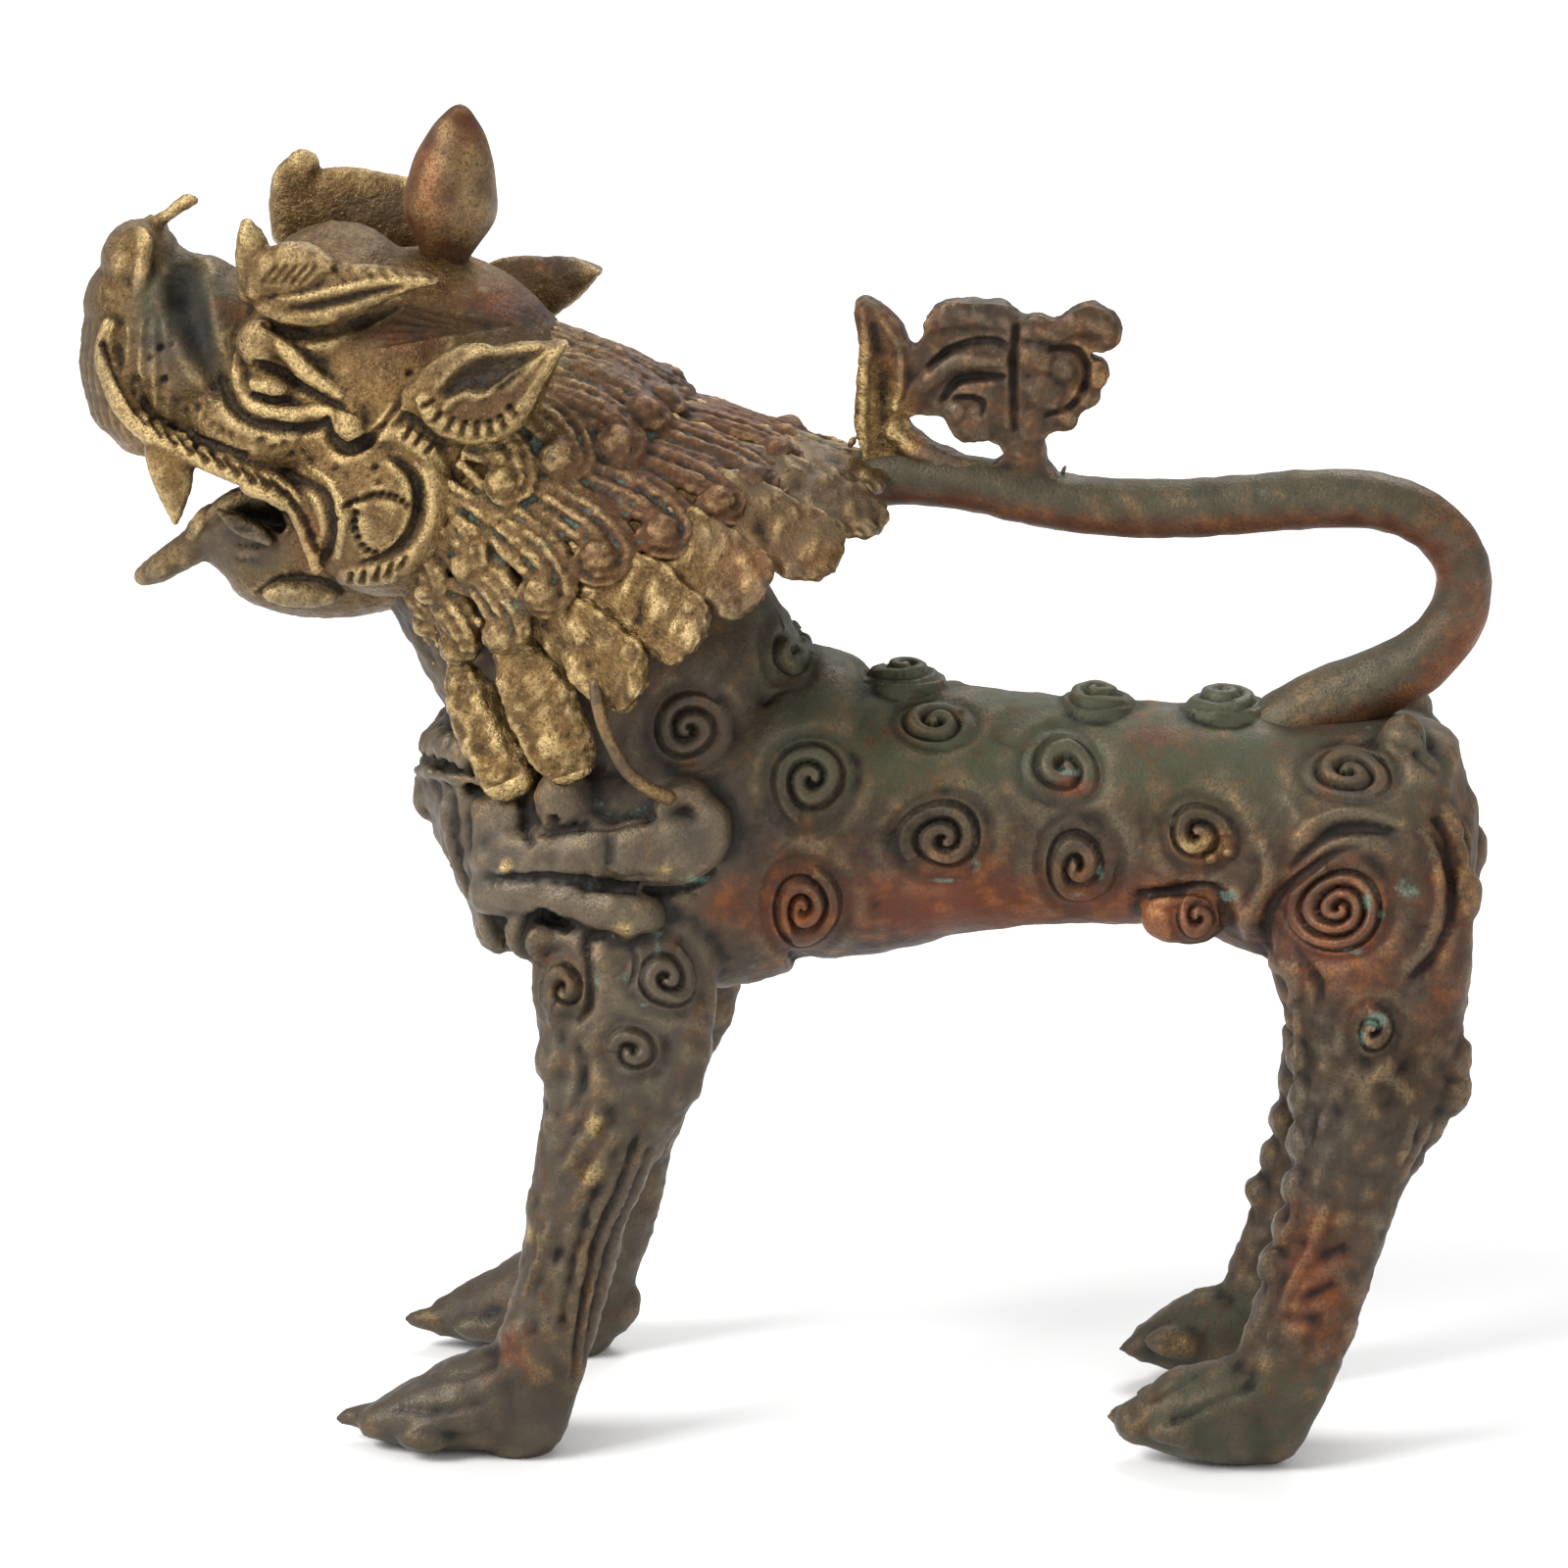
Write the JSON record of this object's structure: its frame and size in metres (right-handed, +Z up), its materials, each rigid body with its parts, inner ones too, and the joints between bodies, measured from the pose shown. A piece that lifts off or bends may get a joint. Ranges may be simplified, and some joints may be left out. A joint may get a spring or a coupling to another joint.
{
  "type": "guardian lion statue",
  "caption": "Small cast-metal guardian lion, head thrown back and mouth open, with a curled mane over a leafy ruff and a tail arched over its back.",
  "frame": {"origin": "bottom centre of the bounding box, in the plane of the four soles", "axes": "+X towards the tail, the lion faces -X; +Y is its right side; +Z is up"},
  "size_m": [0.1584, 0.0536, 0.1503],
  "materials": {
    "bronze": "old cast bronze, brassy where it is rubbed on the head and mane, copper-brown flanks, dark and green in the hollows"
  },
  "bodies": {
    "root": {"guardian_lion": "bronze"}
  },
  "joints": []
}
